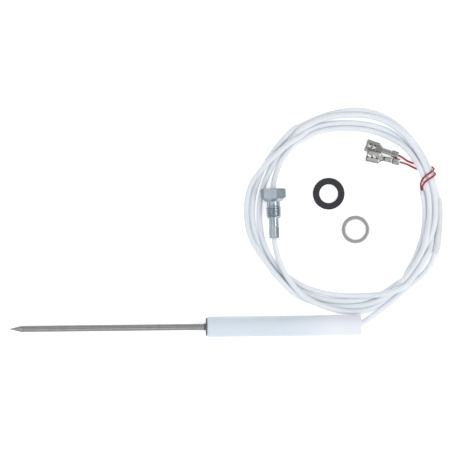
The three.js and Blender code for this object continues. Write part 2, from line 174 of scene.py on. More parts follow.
LAST_STRETCH = [59.8, 62.5, 64.4, 65.8, 62.4, 58.7, 55.8, 54.2]  # from the gland to the end
LAST_STRETCH_START = 1320
# Where a turn starts off on top of others: from and to, in degrees along the coil, and how many
# strands lie under it.
LIFTS = [
    (290, 350, 1.0), (350, 480, 0.9), (565, 590, 0.8), (650, 700, 1.7), (700, 760, 0.9),
    (846, 880, 1.6), (925, 950, 1.1), (1015, 1070, 1.7), (1075, 1135, 1.2), (1135, 1200, 0.7),
    (1315, 1340, 1.3),
]
LIFT = 3.2


# ---- curves ----
def even(points, spacing):
    """The same line as points an even spacing apart."""
    points = np.array(points, float)
    along = np.concatenate([[0], np.cumsum(np.linalg.norm(np.diff(points, axis=0), axis=1))])
    count = max(2, int(round(along[-1] / spacing)))
    at = np.linspace(0, along[-1], count + 1)
    return np.column_stack([np.interp(at, along, points[:, k]) for k in range(3)])


def glide(points, spacing):
    """A centripetal Catmull-Rom curve through the points, as points an even spacing apart."""
    def between(a, b, start, end, at):
        return ((end - at) * a + (at - start) * b) / (end - start)

    points = np.array(points, float)
    padded = np.vstack([2 * points[0] - points[1], points, 2 * points[-1] - points[-2]])
    fine = []
    for i in range(1, len(padded) - 2):
        p = padded[i - 1:i + 3]
        t = np.concatenate([[0], np.cumsum(np.sqrt(np.linalg.norm(np.diff(p, axis=0), axis=1)))])
        at = np.linspace(t[1], t[2], 30, endpoint=False)[:, None]
        a, b, c = (between(p[j], p[j + 1], t[j], t[j + 1], at) for j in range(3))
        ab = between(a, b, t[0], t[2], at)
        bc = between(b, c, t[1], t[3], at)
        fine.append(between(ab, bc, t[1], t[2], at))
    return even(np.vstack(fine + [points[-1:]]), spacing)


def smoothed(points, passes):
    """The line with its small bends evened out; the ends stay."""
    points = points.copy()
    for _ in range(passes):
        points[1:-1] = (points[:-2] + 2 * points[1:-1] + points[2:]) / 4
    return points


def gland_point(along):
    """A point on the gland's axis, at a distance from its head."""
    heading = math.radians(GLAND_HEADING)
    x, y, z = GLAND_HEAD
    return (x + along * math.sin(heading), y - along * math.cos(heading), z)


def lift_at(degrees):
    """How many strands lie under the coil at this place along it."""
    return max([0] + [layers for start, end, layers in LIFTS if start <= degrees <= end])


def on_coil(degrees, radius):
    """A point of the coil, by its angle and distance from the coil's centre."""
    turn = math.radians(degrees)
    x = COIL_CENTRE[0] + radius * math.cos(turn)
    y = COIL_CENTRE[1] + radius * math.sin(turn)
    return (x, y, CABLE_R + LIFT * lift_at(degrees))


def cable_route():
    """The cable from inside the handle, round the coil, through the gland and round to its end."""
    radii = FIRST_TURN + SECOND_TURN + THIRD_TURN + FOURTH_TURN
    route = list(EXIT_ROUTE)
    for i in range(1, len(radii)):
        route.append(on_coil(STATION * i, radii[i]))
    route += GLAND_ROUTE_IN
    route += [gland_point(along) for along in (-1.5, 8, 16, 24, GLAND_LENGTH + 1.5)]
    route += GLAND_ROUTE_OUT
    for i, radius in enumerate(LAST_STRETCH):
        route.append(on_coil(LAST_STRETCH_START + STATION * i, radius))
    return route + END_ROUTE[1:]


# ---- how the cable and the leads settle on the ground and on each other ----
CABLE_STEP = 1.3
LEAD_STEP = 0.7
SETTLE_ROUNDS = 460
NEIGHBOUR_ROUNDS = 15  # how often the list of close pairs is made anew
NEIGHBOUR_REACH = 1.5
OWN_STRETCH = 12  # points this close along one chain never push each other
CABLE_STIFFNESS = 0.45
LEAD_STIFFNESS = 0.8
LEAD_TENSION = 0.98  # the leads are pulled this much shorter round the coil
FALL = 0.03
LAST_FALL = 0.004
DRAW_BACK = 0.045  # towards the drawn route, as seen from above
PUSH = 1.3
CABLE_YIELD = 0.5  # how far the cable gives way to a push, and a lead
LEAD_YIELD = 1.0


class Strands:
    """Chains of points, each with a radius, that fall, keep their length and push each other away.
    The first chain is the cable."""

    def __init__(self, chains, radii):
        self.at = np.vstack(chains)
        self.target = self.at.copy()
        self.radius = np.concatenate([np.full(len(c), r) for c, r in zip(chains, radii)])
        self.chain = np.concatenate([np.full(len(c), i) for i, c in enumerate(chains)])
        self.pinned = np.zeros(len(self.at), bool)
        follows = self.chain[:-1] == self.chain[1:]
        self.links = np.flatnonzero(follows)
        self.inner = np.flatnonzero(follows[:-1] & follows[1:]) + 1
        self.rest = np.linalg.norm(self.at[self.links + 1] - self.at[self.links], axis=1)
        self.rest[self.chain[self.links] > 0] *= LEAD_TENSION

    def neighbours(self):
        """Pairs of points that are close, but not along the same stretch of one chain."""
        found = []
        block = 300
        for start in range(0, len(self.at), block):
            rows = self.at[start:start + block]
            apart = ((rows[:, None, :] - self.at[None]) ** 2).sum(-1)
            reach = self.radius[start:start + block, None] + self.radius[None] + NEIGHBOUR_REACH
            first, second = np.nonzero(apart < reach ** 2)
            first = first + start
            ahead = first < second
            first, second = first[ahead], second[ahead]
            same_chain = self.chain[first] == self.chain[second]
            same_stretch = same_chain & (second - first < OWN_STRETCH)
            found.append(np.column_stack([first[~same_stretch], second[~same_stretch]]))
        return np.vstack(found)

    def push_apart(self, pairs):
        a, b = pairs[:, 0], pairs[:, 1]
        gap = self.at[b] - self.at[a]
        distance = np.linalg.norm(gap, axis=1) + 1e-9
        lack = self.radius[a] + self.radius[b] - distance
        near = lack > 0
        a, b = a[near], b[near]
        shove = gap[near] / distance[near, None] * lack[near, None]
        weight = np.where(self.pinned, 0.0, np.where(self.chain == 0, CABLE_YIELD, LEAD_YIELD))
        total = weight[a] + weight[b] + 1e-9
        move = np.zeros_like(self.at)
        count = np.zeros(len(self.at))
        np.add.at(move, a, -shove * (weight[a] / total)[:, None])
        np.add.at(move, b, shove * (weight[b] / total)[:, None])
        np.add.at(count, a, 1)
        np.add.at(count, b, 1)
        self.at += PUSH * move / np.maximum(count, 1)[:, None]

    def hold(self):
        """Keeps every point above the ground and the pinned ones in their place."""
        self.at[:, 2] = np.maximum(self.at[:, 2], self.radius)
        self.at[self.pinned] = self.target[self.pinned]

    def settle(self, rounds):
        stiffness = np.where(self.chain[self.inner] == 0, CABLE_STIFFNESS, LEAD_STIFFNESS)[:, None]
        for i in range(rounds):
            if i % NEIGHBOUR_ROUNDS == 0:
                pairs = self.neighbours()
            self.at[:, 2] -= FALL * (1 - i / rounds) + LAST_FALL
            self.at[:, :2] += DRAW_BACK * (self.target - self.at)[:, :2]
            middle = (self.at[self.inner - 1] + self.at[self.inner + 1]) / 2
            self.at[self.inner] += stiffness * (middle - self.at[self.inner])
            for _ in range(3):
                self.push_apart(pairs)
                self.hold()
            span = self.at[self.links + 1] - self.at[self.links]
            length = np.linalg.norm(span, axis=1)
            pull = span / length[:, None] * ((length - self.rest) / 4)[:, None]
            self.at[self.links] += pull
            self.at[self.links + 1] -= pull
            self.hold()


def nearest(points, place):
    """The index of the point nearest to a place, as seen from above."""
    return int(np.argmin(np.linalg.norm(points[:, :2] - np.array(place), axis=1)))


def settle_cords():
    """The settled centre lines of the cable and the two leads, and the sleeve's span on the cable."""
    cable = glide(cable_route(), CABLE_STEP)
    leads = [glide(route, LEAD_STEP) for route in (LEAD_UPPER_ROUTE, LEAD_LOWER_ROUTE)]
    strands = Strands([cable, *leads], [CABLE_R, LEAD_R, LEAD_R])
    first_quarter = cable[:len(cable) // 4]
    sleeve = slice(nearest(first_quarter, SLEEVE_START), nearest(first_quarter, SLEEVE_END) + 1)
    strands.radius[sleeve] = SLEEVE_R
    count = len(cable)
    strands.pinned[:nearest(first_quarter, OUT_OF_HANDLE)] = True
    strands.pinned[count - 6:count] = True
    head, tail = gland_point(-2), gland_point(GLAND_LENGTH + 2)
    last_half = np.arange(count // 2, count)
    offset = np.abs(cable[last_half, 0] - (head[0] + tail[0]) / 2)
    near_axis = offset < 1.2
    in_gland = near_axis & (cable[last_half, 1] < head[1]) & (cable[last_half, 1] > tail[1])
    strands.pinned[last_half[in_gland]] = True
    start = count
    for lead in leads:
        end = start + len(lead)
        strands.pinned[start:start + 2] = True
        strands.pinned[end - 3:end] = True
        low, high = UNDER_COIL
        under_coil = (lead[:, 2] < 0.9) & (lead[:, 0] > low) & (lead[:, 0] < high)
        strands.pinned[start:end][under_coil] = True
        start = end
    strands.settle(SETTLE_ROUNDS)
    ends = np.cumsum([count] + [len(lead) for lead in leads])
    settled = np.split(strands.at, ends[:-1])
    return smoothed(settled[0], 3), [smoothed(lead, 12) for lead in settled[1:]], sleeve


# ---- materials ----
def look(name, colour, other, scale, roughness, bump=0.0, bump_scale=None, stretch=(1, 1, 1), metallic=0.0,
         **sockets):
    """A material that drifts between two colours and two roughnesses, with a fine relief.
    Scales are in features per millimetre; stretch squeezes the pattern along X, Y and Z."""
    material = bpy.data.materials.new(name)
    material.use_nodes = True
    tree = material.node_tree
    shader = tree.nodes["Principled BSDF"]
    shader.inputs["Metallic"].default_value = metallic
    for socket, value in sockets.items():
        shader.inputs[socket.replace("_", " ")].default_value = value
    place = tree.nodes.new("ShaderNodeTexCoord")
    squeeze = tree.nodes.new("ShaderNodeMapping")
    squeeze.inputs["Scale"].default_value = stretch
    tree.links.new(place.outputs["Object"], squeeze.inputs["Vector"])
    drift = tree.nodes.new("ShaderNodeTexNoise")
    drift.inputs["Scale"].default_value = scale / MM
    drift.inputs["Detail"].default_value = 4
    tree.links.new(squeeze.outputs["Vector"], drift.inputs["Vector"])
    contrast = tree.nodes.new("ShaderNodeMapRange")
    contrast.inputs["From Min"].default_value = 0.3
    contrast.inputs["From Max"].default_value = 0.7
    tree.links.new(drift.outputs["Fac"], contrast.inputs["Value"])
    mix = tree.nodes.new("ShaderNodeMix")
    mix.data_type = "RGBA"
    mix.inputs["A"].default_value = (*colour, 1)
    mix.inputs["B"].default_value = (*other, 1)
    tree.links.new(contrast.outputs["Result"], mix.inputs["Factor"])
    tree.links.new(mix.outputs["Result"], shader.inputs["Base Color"])
    gloss = tree.nodes.new("ShaderNodeMapRange")
    gloss.inputs["To Min"].default_value = roughness[0]
    gloss.inputs["To Max"].default_value = roughness[1]
    tree.links.new(drift.outputs["Fac"], gloss.inputs["Value"])
    tree.links.new(gloss.outputs["Result"], shader.inputs["Roughness"])
    if bump:
        grain = tree.nodes.new("ShaderNodeTexNoise")
        grain.inputs["Scale"].default_value = (bump_scale or scale * 4) / MM
        grain.inputs["Detail"].default_value = 3
        tree.links.new(squeeze.outputs["Vector"], grain.inputs["Vector"])
        relief = tree.nodes.new("ShaderNodeBump")
        relief.inputs["Strength"].default_value = 0.6
        relief.inputs["Distance"].default_value = bump * MM
        tree.links.new(grain.outputs["Fac"], relief.inputs["Height"])
        tree.links.new(relief.outputs["Normal"], shader.inputs["Normal"])
    return material


def tint_along_x(material, start, end, colour):
    """Mixes another colour in from x = start to x = end, in metres."""
    tree = material.node_tree
    shader = tree.nodes["Principled BSDF"]
    before = shader.inputs["Base Color"].links[0].from_socket
    place = tree.nodes.new("ShaderNodeTexCoord")
    split = tree.nodes.new("ShaderNodeSeparateXYZ")
    ramp = tree.nodes.new("ShaderNodeMapRange")
    ramp.interpolation_type = "SMOOTHSTEP"
    ramp.inputs["From Min"].default_value = start
    ramp.inputs["From Max"].default_value = end
    mix = tree.nodes.new("ShaderNodeMix")
    mix.data_type = "RGBA"
    mix.inputs["B"].default_value = (*colour, 1)
    tree.links.new(place.outputs["Object"], split.inputs["Vector"])
    tree.links.new(split.outputs["X"], ramp.inputs["Value"])
    tree.links.new(ramp.outputs["Result"], mix.inputs["Factor"])
    tree.links.new(before, mix.inputs["A"])
    tree.links.new(mix.outputs["Result"], shader.inputs["Base Color"])


DARK_RIM = (0.2, 0.2, 0.2, 1)  # how a metal's edge reflects at a grazing angle
LOOKS = {
    # Ground round its axis, so fine lines run round the needle.
    "needle": look("needle_steel", (0.36, 0.36, 0.355), (0.31, 0.31, 0.31), 0.10, (0.13, 0.20), bump=0.0015,
                   bump_scale=0.8, stretch=(3, 0.6, 0.6), metallic=1.0, Specular_Tint=(0, 0, 0, 1)),
    "collar": look("collar_steel", (0.20, 0.19, 0.205), (0.14, 0.135, 0.145), 0.5, (0.35, 0.55), bump=0.01,
                   metallic=1.0),
    "handle": look("handle_plastic", (0.685, 0.755, 0.825), (0.65, 0.72, 0.79), 0.05, (0.34, 0.46),
                   bump=0.02, bump_scale=0.6, Subsurface_Weight=0.15, Subsurface_Scale=0.004,
                   Subsurface_Radius=(1, 1, 1)),
    "cable": look("cable_sheath", (0.775, 0.805, 0.855), (0.73, 0.765, 0.80), 0.06, (0.28, 0.42),
                  bump=0.012, bump_scale=0.5, Subsurface_Weight=0.3, Subsurface_Scale=0.003,
                  Subsurface_Radius=(1, 1, 1)),
    "sleeve": look("sleeve_plastic", (0.74, 0.76, 0.79), (0.68, 0.70, 0.71), 0.08, (0.30, 0.45),
                   bump=0.015, bump_scale=0.5, Subsurface_Weight=0.15, Subsurface_Scale=0.002,
                   Subsurface_Radius=(1, 1, 1)),
    "plated": look("gland_plating", (0.43, 0.485, 0.53), (0.37, 0.42, 0.465), 0.25, (0.14, 0.23),
                   bump=0.004, bump_scale=1.5, metallic=1.0, Specular_Tint=(0.85, 0.85, 0.85, 1)),
    "seal": look("seal_silicone", (0.72, 0.72, 0.70), (0.62, 0.62, 0.60), 0.4, (0.45, 0.6), bump=0.01),
    "rubber": look("washer_rubber", (0.026, 0.027, 0.032), (0.018, 0.019, 0.023), 0.5, (0.65, 0.85),
                   bump=0.03, bump_scale=2.5),
    "ring": look("ring_metal", (0.58, 0.58, 0.57), (0.47, 0.47, 0.46), 0.3, (0.20, 0.30), bump=0.015,
                 bump_scale=2.0, metallic=1.0, Specular_Tint=DARK_RIM),
    "tin": look("terminal_tin", (0.42, 0.42, 0.405), (0.29, 0.29, 0.28), 0.35, (0.17, 0.30), bump=0.015,
                bump_scale=2.0, metallic=1.0, Specular_Tint=DARK_RIM),
    "lead": look("lead_red", (0.40, 0.014, 0.040), (0.30, 0.010, 0.030), 0.3, (0.25, 0.4), bump=0.01),
    "strand": look("strand_copper", (0.44, 0.30, 0.23), (0.30, 0.21, 0.17), 0.8, (0.25, 0.4), metallic=1.0),
    "ceramic": look("ceramic", (0.85, 0.82, 0.74), (0.78, 0.75, 0.68), 0.5, (0.5, 0.7), bump=0.01),
    "core": look("core_insulation", (0.70, 0.68, 0.60), (0.62, 0.60, 0.53), 0.4, (0.4, 0.5), bump=0.01),
}
# Painted light: the handle's rear is painted paler, as if more light fell on it.
tint_along_x(LOOKS["handle"], HANDLE_LOW.x + 0.052, HANDLE_LOW.x + 0.086, (0.80, 0.825, 0.90))


# ---- meshes ----
def to_model_frame(points):
    """Points of the working frame, in mm, as points of the model's frame, in metres."""
    return (np.array(points, float) * MM + WORKING_ORIGIN).tolist()


def add_piece(name, points, faces, material, replaced, body="probe", sharp=40):
    """A closed mesh from points in the working frame, riding on a body and standing for CAD nodes."""
    mesh = bpy.data.meshes.new(name)
    mesh.from_pydata(to_model_frame(points), [], faces)
    work = bmesh.new()
    work.from_mesh(mesh)
    bmesh.ops.recalc_face_normals(work, faces=work.faces)
    work.to_mesh(mesh)
    work.free()
    mesh.polygons.foreach_set("use_smooth", [True] * len(mesh.polygons))
    mesh.set_sharp_from_angle(angle=math.radians(sharp))
    mesh.materials.append(material)
    piece = bpy.data.objects.new(name, mesh)
    bpy.context.scene.collection.objects.link(piece)
    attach(piece, body)
    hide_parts(*replaced)
    return piece


def revolve(outline, segments, shaped=None):
    """Rings of points [radius, height] turned about an axis, as local points (a, b, height) and faces.
    shaped(angle, radius, height) gives the radius where it isn't round. The outline closes on itself,
    or through the axis where it starts and ends at radius 0."""
    points, rings = [], []
    for radius, height in outline:
        if radius == 0:
            rings.append([len(points)])
            points.append((0, 0, height))
            continue
        rings.append(list(range(len(points), len(points) + segments)))
        for i in range(segments):
            angle = 2 * math.pi * i / segments
            r = shaped(angle, radius, height) if shaped else radius
            points.append((r * math.cos(angle), r * math.sin(angle), height))
    pairs = list(zip(rings, rings[1:]))
    if len(rings[0]) > 1 and len(rings[-1]) > 1:
        pairs.append((rings[-1], rings[0]))
    faces = []
    for low, high in pairs:
        for i in range(segments):
            j = (i + 1) % segments
            if len(low) == 1 and len(high) == 1:
                continue
            if len(low) == 1:
                faces.append((low[0], high[j], high[i]))
            elif len(high) == 1:
                faces.append((low[i], low[j], high[0]))
            else:
                faces.append((low[i], low[j], high[j], high[i]))
    return points, faces


def rounded(outline, radius, closed=True, steps=4):
    """The outline with each corner taken off by a small arc."""
    count = len(outline)
    done = []
    for i, (x, y) in enumerate(outline):
        if (not closed and i in (0, count - 1)) or x == 0:
            done.append((x, y))
            continue
        here = Vector((x, y))
        before = Vector(outline[i - 1]) - here
        after = Vector(outline[(i + 1) % count]) - here
        reach = min(radius, before.length * 0.45, after.length * 0.45)
        start = here + before.normalized() * reach
        end = here + after.normalized() * reach
        for k in range(steps + 1):
            t = k / steps
            done.append(tuple((1 - t) ** 2 * start + 2 * t * (1 - t) * here + t ** 2 * end))
    return done


def finer(outline, step, start, end):
    """The outline with extra points where its height is between start and end."""
    done = []
    for (r0, h0), (r1, h1) in zip(outline, outline[1:] + outline[:1]):
        done.append((r0, h0))
        inside = start <= min(h0, h1) and max(h0, h1) <= end and r0 and r1
        count = int(abs(h1 - h0) / step) if inside else 0
        for k in range(1, count + 1):
            t = k / (count + 1)
            done.append((r0 + (r1 - r0) * t, h0 + (h1 - h0) * t))
    return done


def along_probe(points):
    """Turned points, from the handle's front along the probe's axis."""
    return [(h, a, b + HANDLE_R) for a, b, h in points]


def upright(points, at):
    """Turned points, standing on the ground at a place."""
    return [(a + at[0], b + at[1], h) for a, b, h in points]


def along_gland(points):
    """Turned points, from the gland's head along its axis."""
    turn = Matrix.Rotation(math.radians(GLAND_HEADING), 3, "Z")
    head = Vector(GLAND_HEAD)
    return [tuple(head + turn @ Vector((a, -h, b))) for a, b, h in points]


ROD_EDGE = 0.12  # how much of its radius a rod's end is rounded off


def tube(path, radius, sides, bore=0.0, bore_depth=0.0):
    """A round rod along a path, as points and faces. With a bore, its far end is open to that depth."""
    path = np.array(path, float)
    angles = 2 * np.pi * np.arange(sides) / sides
    tangent = np.gradient(path, axis=0)
    tangent /= np.linalg.norm(tangent, axis=1)[:, None]
    side = np.cross(tangent[0], (0, 0, 1))
    side /= np.linalg.norm(side)
    rings = []
    for i, here in enumerate(path):
        side = side - tangent[i] * np.dot(side, tangent[i])
        side /= np.linalg.norm(side)
        rings.append((here, side.copy(), np.cross(tangent[i], side)))
    points, faces = [], []

    def ring(centre, r, across, up):
        start = len(points)
        for angle in angles:
            points.append(tuple(centre + r * (math.cos(angle) * across + math.sin(angle) * up)))
        return list(range(start, start + sides))

    def join(low, high):
        for i in range(sides):
            j = (i + 1) % sides
            faces.append((low[i], low[j], high[j], high[i]))

    edge = ROD_EDGE * radius
    start, *start_axes = rings[0]
    end, *end_axes = rings[-1]
    bottom = end - tangent[-1] * bore_depth
    loops = [ring(start, radius - edge, *start_axes), ring(start + tangent[0] * edge, radius, *start_axes)]
    loops += [ring(here, radius, *axes) for here, *axes in rings[1:-1]]
    loops.append(ring(end - tangent[-1] * edge, radius, *end_axes))
    loops.append(ring(end, radius - edge, *end_axes))
    if bore:
        loops.append(ring(end, bore, *end_axes))
        loops.append(ring(bottom, bore, *end_axes))
    for low, high in zip(loops, loops[1:]):
        join(low, high)
    for loop, centre in ((loops[0], start), (loops[-1], bottom)):
        points.append(tuple(centre))
        for i in range(sides):
            faces.append((loop[i], loop[(i + 1) % sides], len(points) - 1))
    return points, faces


# ---- gland ----
def hexagon(angle, flats):
    """The distance from the axis to the side of a hexagon, by its width across flats."""
    sector = (math.degrees(angle) - HEX_TURN) % 60 - 30
    return flats / 2 / math.cos(math.radians(sector))


def smooth_step(value):
    t = min(1.0, max(0.0, value))
    return t * t * (3 - 2 * t)


THREAD_GROOVE = 0.16  # of a pitch, flat at the thread's root
THREAD_FLANK = 0.5
THREAD_RUN_OUT = 0.9
CRIMP_BULGE = 0.16
CRIMP_SQUEEZE = 0.26


def gland_radius(angle, radius, height):
    """The gland's radius: a hexagon, then a helical thread, then a stem with a six-sided crimp."""
    angle += math.radians(HEX_TURN)
    if THREAD_START <= height <= THREAD_END and radius > THREAD_ROOT_R - 0.01:
        phase = ((height - THREAD_START) / THREAD_PITCH - angle / (2 * math.pi)) % 1
        ridge = min(1.0, max(0.0, (1 - abs(2 * phase - 1) - THREAD_GROOVE) / THREAD_FLANK))
        fade_in = smooth_step((height - THREAD_START) / THREAD_RUN_OUT)
        fade_out = smooth_step((THREAD_END - height) / THREAD_RUN_OUT)
        return THREAD_ROOT_R + (THREAD_R - THREAD_ROOT_R) * ridge * (fade_in * fade_out)
    if height > CRIMP_START and radius > STEM_R - 0.5:
        press = smooth_step((height - CRIMP_START) / 0.5)
        pressed = min(STEM_R + CRIMP_BULGE, hexagon(angle, 2 * STEM_R - CRIMP_SQUEEZE))
        return radius + (pressed - STEM_R) * press
    return min(radius, hexagon(angle, HEX_FLATS))


def build_gland():
    """The gland and the bush inside its head."""
    corner = HEX_FLATS / math.sqrt(3) + 0.05
    outline = [
        (SEAL_R + FIT, SEAL_LENGTH + 1), (SEAL_R + FIT, 0.25), (SEAL_R + FIT + 0.25, 0),
        (HEX_FLATS / 2 - 0.35, 0), (corner, 0.5), (corner, HEX_LENGTH + 0.15),
        (SEAT_R, SEAT_END - 0.5), (SEAT_R - 0.2, SEAT_END - 0.3), (NECK_R + 0.1, SEAT_END - 0.25),
        (NECK_R, SEAT_END),
        (NECK_R, THREAD_START - 0.3), (THREAD_ROOT_R, THREAD_START), (THREAD_ROOT_R, THREAD_END),
        (THREAD_ROOT_R, THREAD_END + 0.4), (THREAD_ROOT_R - 0.15, THREAD_END + 0.6),
        (STEM_R + 0.1, THREAD_END + 0.6), (STEM_R, THREAD_END + 0.7), (STEM_R, CRIMP_START),
        (STEM_R, GLAND_LENGTH - 0.25), (STEM_R - 0.25, GLAND_LENGTH), (BORE_R + 0.15, GLAND_LENGTH),
        (BORE_R, GLAND_LENGTH - 0.15), (BORE_R, SEAL_LENGTH + 1),
    ]
    outline = finer(outline, 0.12, 0, SEAT_END)
    outline = finer(outline, 0.09, THREAD_START, THREAD_END)
    outline = finer(outline, 0.12, CRIMP_START, GLAND_LENGTH - 0.2)
    points, faces = revolve(outline, 96, gland_radius)
    turn = Matrix.Rotation(math.radians(HEX_TURN), 3, "Z")
    points = [tuple(turn @ Vector(p)) for p in points]
    gland = add_piece("gland", along_gland(points), faces, LOOKS["plated"], ["gland_body"],
                      sharp=28)
    seal_outline = rounded([
        (BORE_R, 0.7), (SEAL_R, 0.7), (SEAL_R, SEAL_LENGTH), (BORE_R, SEAL_LENGTH),
    ], 0.3)
    points, faces = revolve(seal_outline, 48)
    seal = add_piece("gland_seal_bush", along_gland(points), faces, LOOKS["seal"],
                     ["gland_seal"])
    return [gland, seal]


# ---- receptacles ----
def receptacle_matrix(place):
    """Puts a receptacle, drawn from its mouth along +X with its floor at z = 0, in its place."""
    turn = Matrix.Rotation(math.radians(place["heading"]), 4, "Z")
    turn = turn @ Matrix.Rotation(math.radians(place["pitch"]), 4, "Y")
    turn = turn @ Matrix.Rotation(math.radians(place["roll"]), 4, "X")
    return Matrix.Translation(place["mouth"]) @ turn


def fold(pieces, steps=6):
    """A strip's profile from (0, 0) heading outwards: each piece is (length, degrees of turn)."""
    y, z, heading = 0.0, 0.0, 0.0
    profile = [(0.0, 0.0)]
    for length, turn in pieces:
        for _ in range(steps):
            heading += math.radians(turn) / steps / 2
            y += length / steps * math.cos(heading)
            z += length / steps * math.sin(heading)
            heading += math.radians(turn) / steps / 2
            profile.append((y, z))
    return profile


ROLL = fold([(3.9, 180), (1.1, 0), (0.45, 55)])
NECK_WALL = fold([(0.62, 70), (0.35, 0)])
WIRE_CRIMP = fold([(3.05, 190), (0.75, 95)])
SHEATH_CRIMP = fold([(3.93, 180), (0.55, 6)])
# The stamped strip's stretches: x of each row, half the floor's width there, and the folded wings.
WINDOWS = [(1.75, 3.05), (5.05, 6.35)]
WINDOW_COLUMNS = range(2, 6)
RECEPTACLE_FLARE = 0.12
SHEET_EDGE = 0.18  # how much of its thickness a cut edge is rounded off
STRIP = [
    ([0, 0.3, 1.75, 3.05, 4.05, 5.05, 6.35, 7.4, RECEPTACLE_BODY], [2.45] * 9, ROLL),
    ([RECEPTACLE_BODY, 9.4, 10.4, 11.3, RECEPTACLE_NECK], [2.45, 2.0, 1.2, 0.75, 0.6], NECK_WALL),
    ([RECEPTACLE_NECK, 12.3, 13.5, 14.7, 15.9, 17.0], [0.6, 0.45, 0.45, 0.45, 0.45, 0.45], WIRE_CRIMP),
    ([17.0, RECEPTACLE_CRIMP], [0.45, 0.65], None),
    ([RECEPTACLE_CRIMP, 18.2, 19.6, 21.0, RECEPTACLE_LENGTH], [0.65, 0.7, 0.7, 0.7, 0.7], SHEATH_CRIMP),
]
FLOOR_COLUMNS = [-1, -0.85, -0.69, -0.35, 0, 0.35, 0.69, 0.85, 1]


def build_receptacle(level, place):
    """A stamped and rolled strip: a flat floor with windows, and wings folded up on both sides."""
    points, faces = [], []
    last_row = None
    for stretch, (rows, halves, wing) in enumerate(STRIP):
        floor_rows, wing_rows = [], []
        for x, half in zip(rows, halves):
            if floor_rows or last_row is None:
                start = len(points)
                points += [(x, half * c, SHEET / 2) for c in FLOOR_COLUMNS]
                floor_rows.append(list(range(start, start + len(FLOOR_COLUMNS))))
            else:
                floor_rows.append(last_row)
            if not wing:
                continue
            for side, edge in ((-1, 0), (1, -1)):
                profile = wing[1:]
                flare = RECEPTACLE_FLARE if stretch == 0 and x == 0 else 0.0
                start = len(points)
                points += [
                    (x, side * (half + y + flare), SHEET / 2 + z * (1 + flare)) for y, z in profile
                ]
                own = list(range(start, start + len(profile)))
                wing_rows.append((side, [floor_rows[-1][edge]] + own))
        for x0, x1, low, high in zip(rows, rows[1:], floor_rows, floor_rows[1:]):
            for i in range(len(low) - 1):
                if stretch == 0 and (x0, x1) in WINDOWS and i in WINDOW_COLUMNS:
                    continue
                faces.append((low[i], low[i + 1], high[i + 1], high[i]))
        for side in (-1, 1):
            strips = [row for which, row in wing_rows if which == side]
            for low, high in zip(strips, strips[1:]):
                for i in range(len(low) - 1):
                    faces.append((low[i], low[i + 1], high[i + 1], high[i]))
        last_row = floor_rows[-1]
    matrix = receptacle_matrix(place)
    placed = [tuple(matrix @ Vector(p)) for p in points]
    piece = add_piece(f"push_on_{level}", placed, faces, LOOKS["tin"],
                      [f"receptacle_{level}"])
    thicken(piece, SHEET * MM)
    return piece


def thicken(piece, thickness):
    """Gives a sheet its thickness, half to each side, with slightly rounded cut edges."""
    solid = piece.modifiers.new("thickness", "SOLIDIFY")
    solid.thickness = thickness
    solid.offset = 0
    bevel = piece.modifiers.new("edges", "BEVEL")
    bevel.width = thickness * SHEET_EDGE
    bevel.segments = 2
    bevel.limit_method = "ANGLE"
    bevel.angle_limit = math.radians(55)
    bpy.context.view_layer.update()
    evaluated = piece.evaluated_get(bpy.context.evaluated_depsgraph_get())
    solid_mesh = bpy.data.meshes.new_from_object(evaluated)
    piece.modifiers.clear()
    piece.data = solid_mesh
    solid_mesh.polygons.foreach_set("use_smooth", [True] * len(solid_mesh.polygons))
    solid_mesh.set_sharp_from_angle(angle=math.radians(40))


STRAND_R = 0.17
STRAND_RING_R = 0.33
STRAND_TWIST = 5.0
STRAND_HEIGHT = 1.05
STRAND_STEPS = 24
STRAND_FRAY = 0.25


def build_strands(level, place):
    """Six copper strands twisted round a seventh; they end unevenly just past the wire crimp."""
    matrix = receptacle_matrix(place)
    start, end = RECEPTACLE_NECK - 0.5, RECEPTACLE_CRIMP + 0.5
    points, faces = [], []
    for k in range(7):
        path = []
        for i in range(STRAND_STEPS + 1):
            fray = STRAND_FRAY * (k % 3) * (1 - i / STRAND_STEPS)
            x = start + (end - start) * i / STRAND_STEPS - fray
            angle = 2 * math.pi * (k / 6 + (x - start) / STRAND_TWIST)
            out = STRAND_RING_R if k < 6 else 0
            path.append(matrix @ Vector((x, out * math.cos(angle), STRAND_HEIGHT + out * math.sin(angle))))
        more, more_faces = tube([tuple(p) for p in path], STRAND_R, 8)
        offset = len(points)
        points += more
        faces += [tuple(i + offset for i in face) for face in more_faces]
    return add_piece(f"strands_{level}", points, faces, LOOKS["strand"],
                     [f"lead_strands_{level}"])


# ---- cords ----
def length_of(path):
    """A path's length, in metres."""
    return float(np.linalg.norm(np.diff(path, axis=0), axis=1).sum()) * MM


def build_cable(path):
    """The cable, from inside the handle to the open end of its sheath."""
    points, faces = tube(path, CABLE_R, 18, bore=CABLE_BORE_R, bore_depth=1.6)
    cable = add_piece("cable", points, faces, LOOKS["cable"],
                      ["cable_exit_run", "cable_coil", "cable_gland_run", "cable_end_run"])
    print(f"cable: {length_of(path):.4f} m")


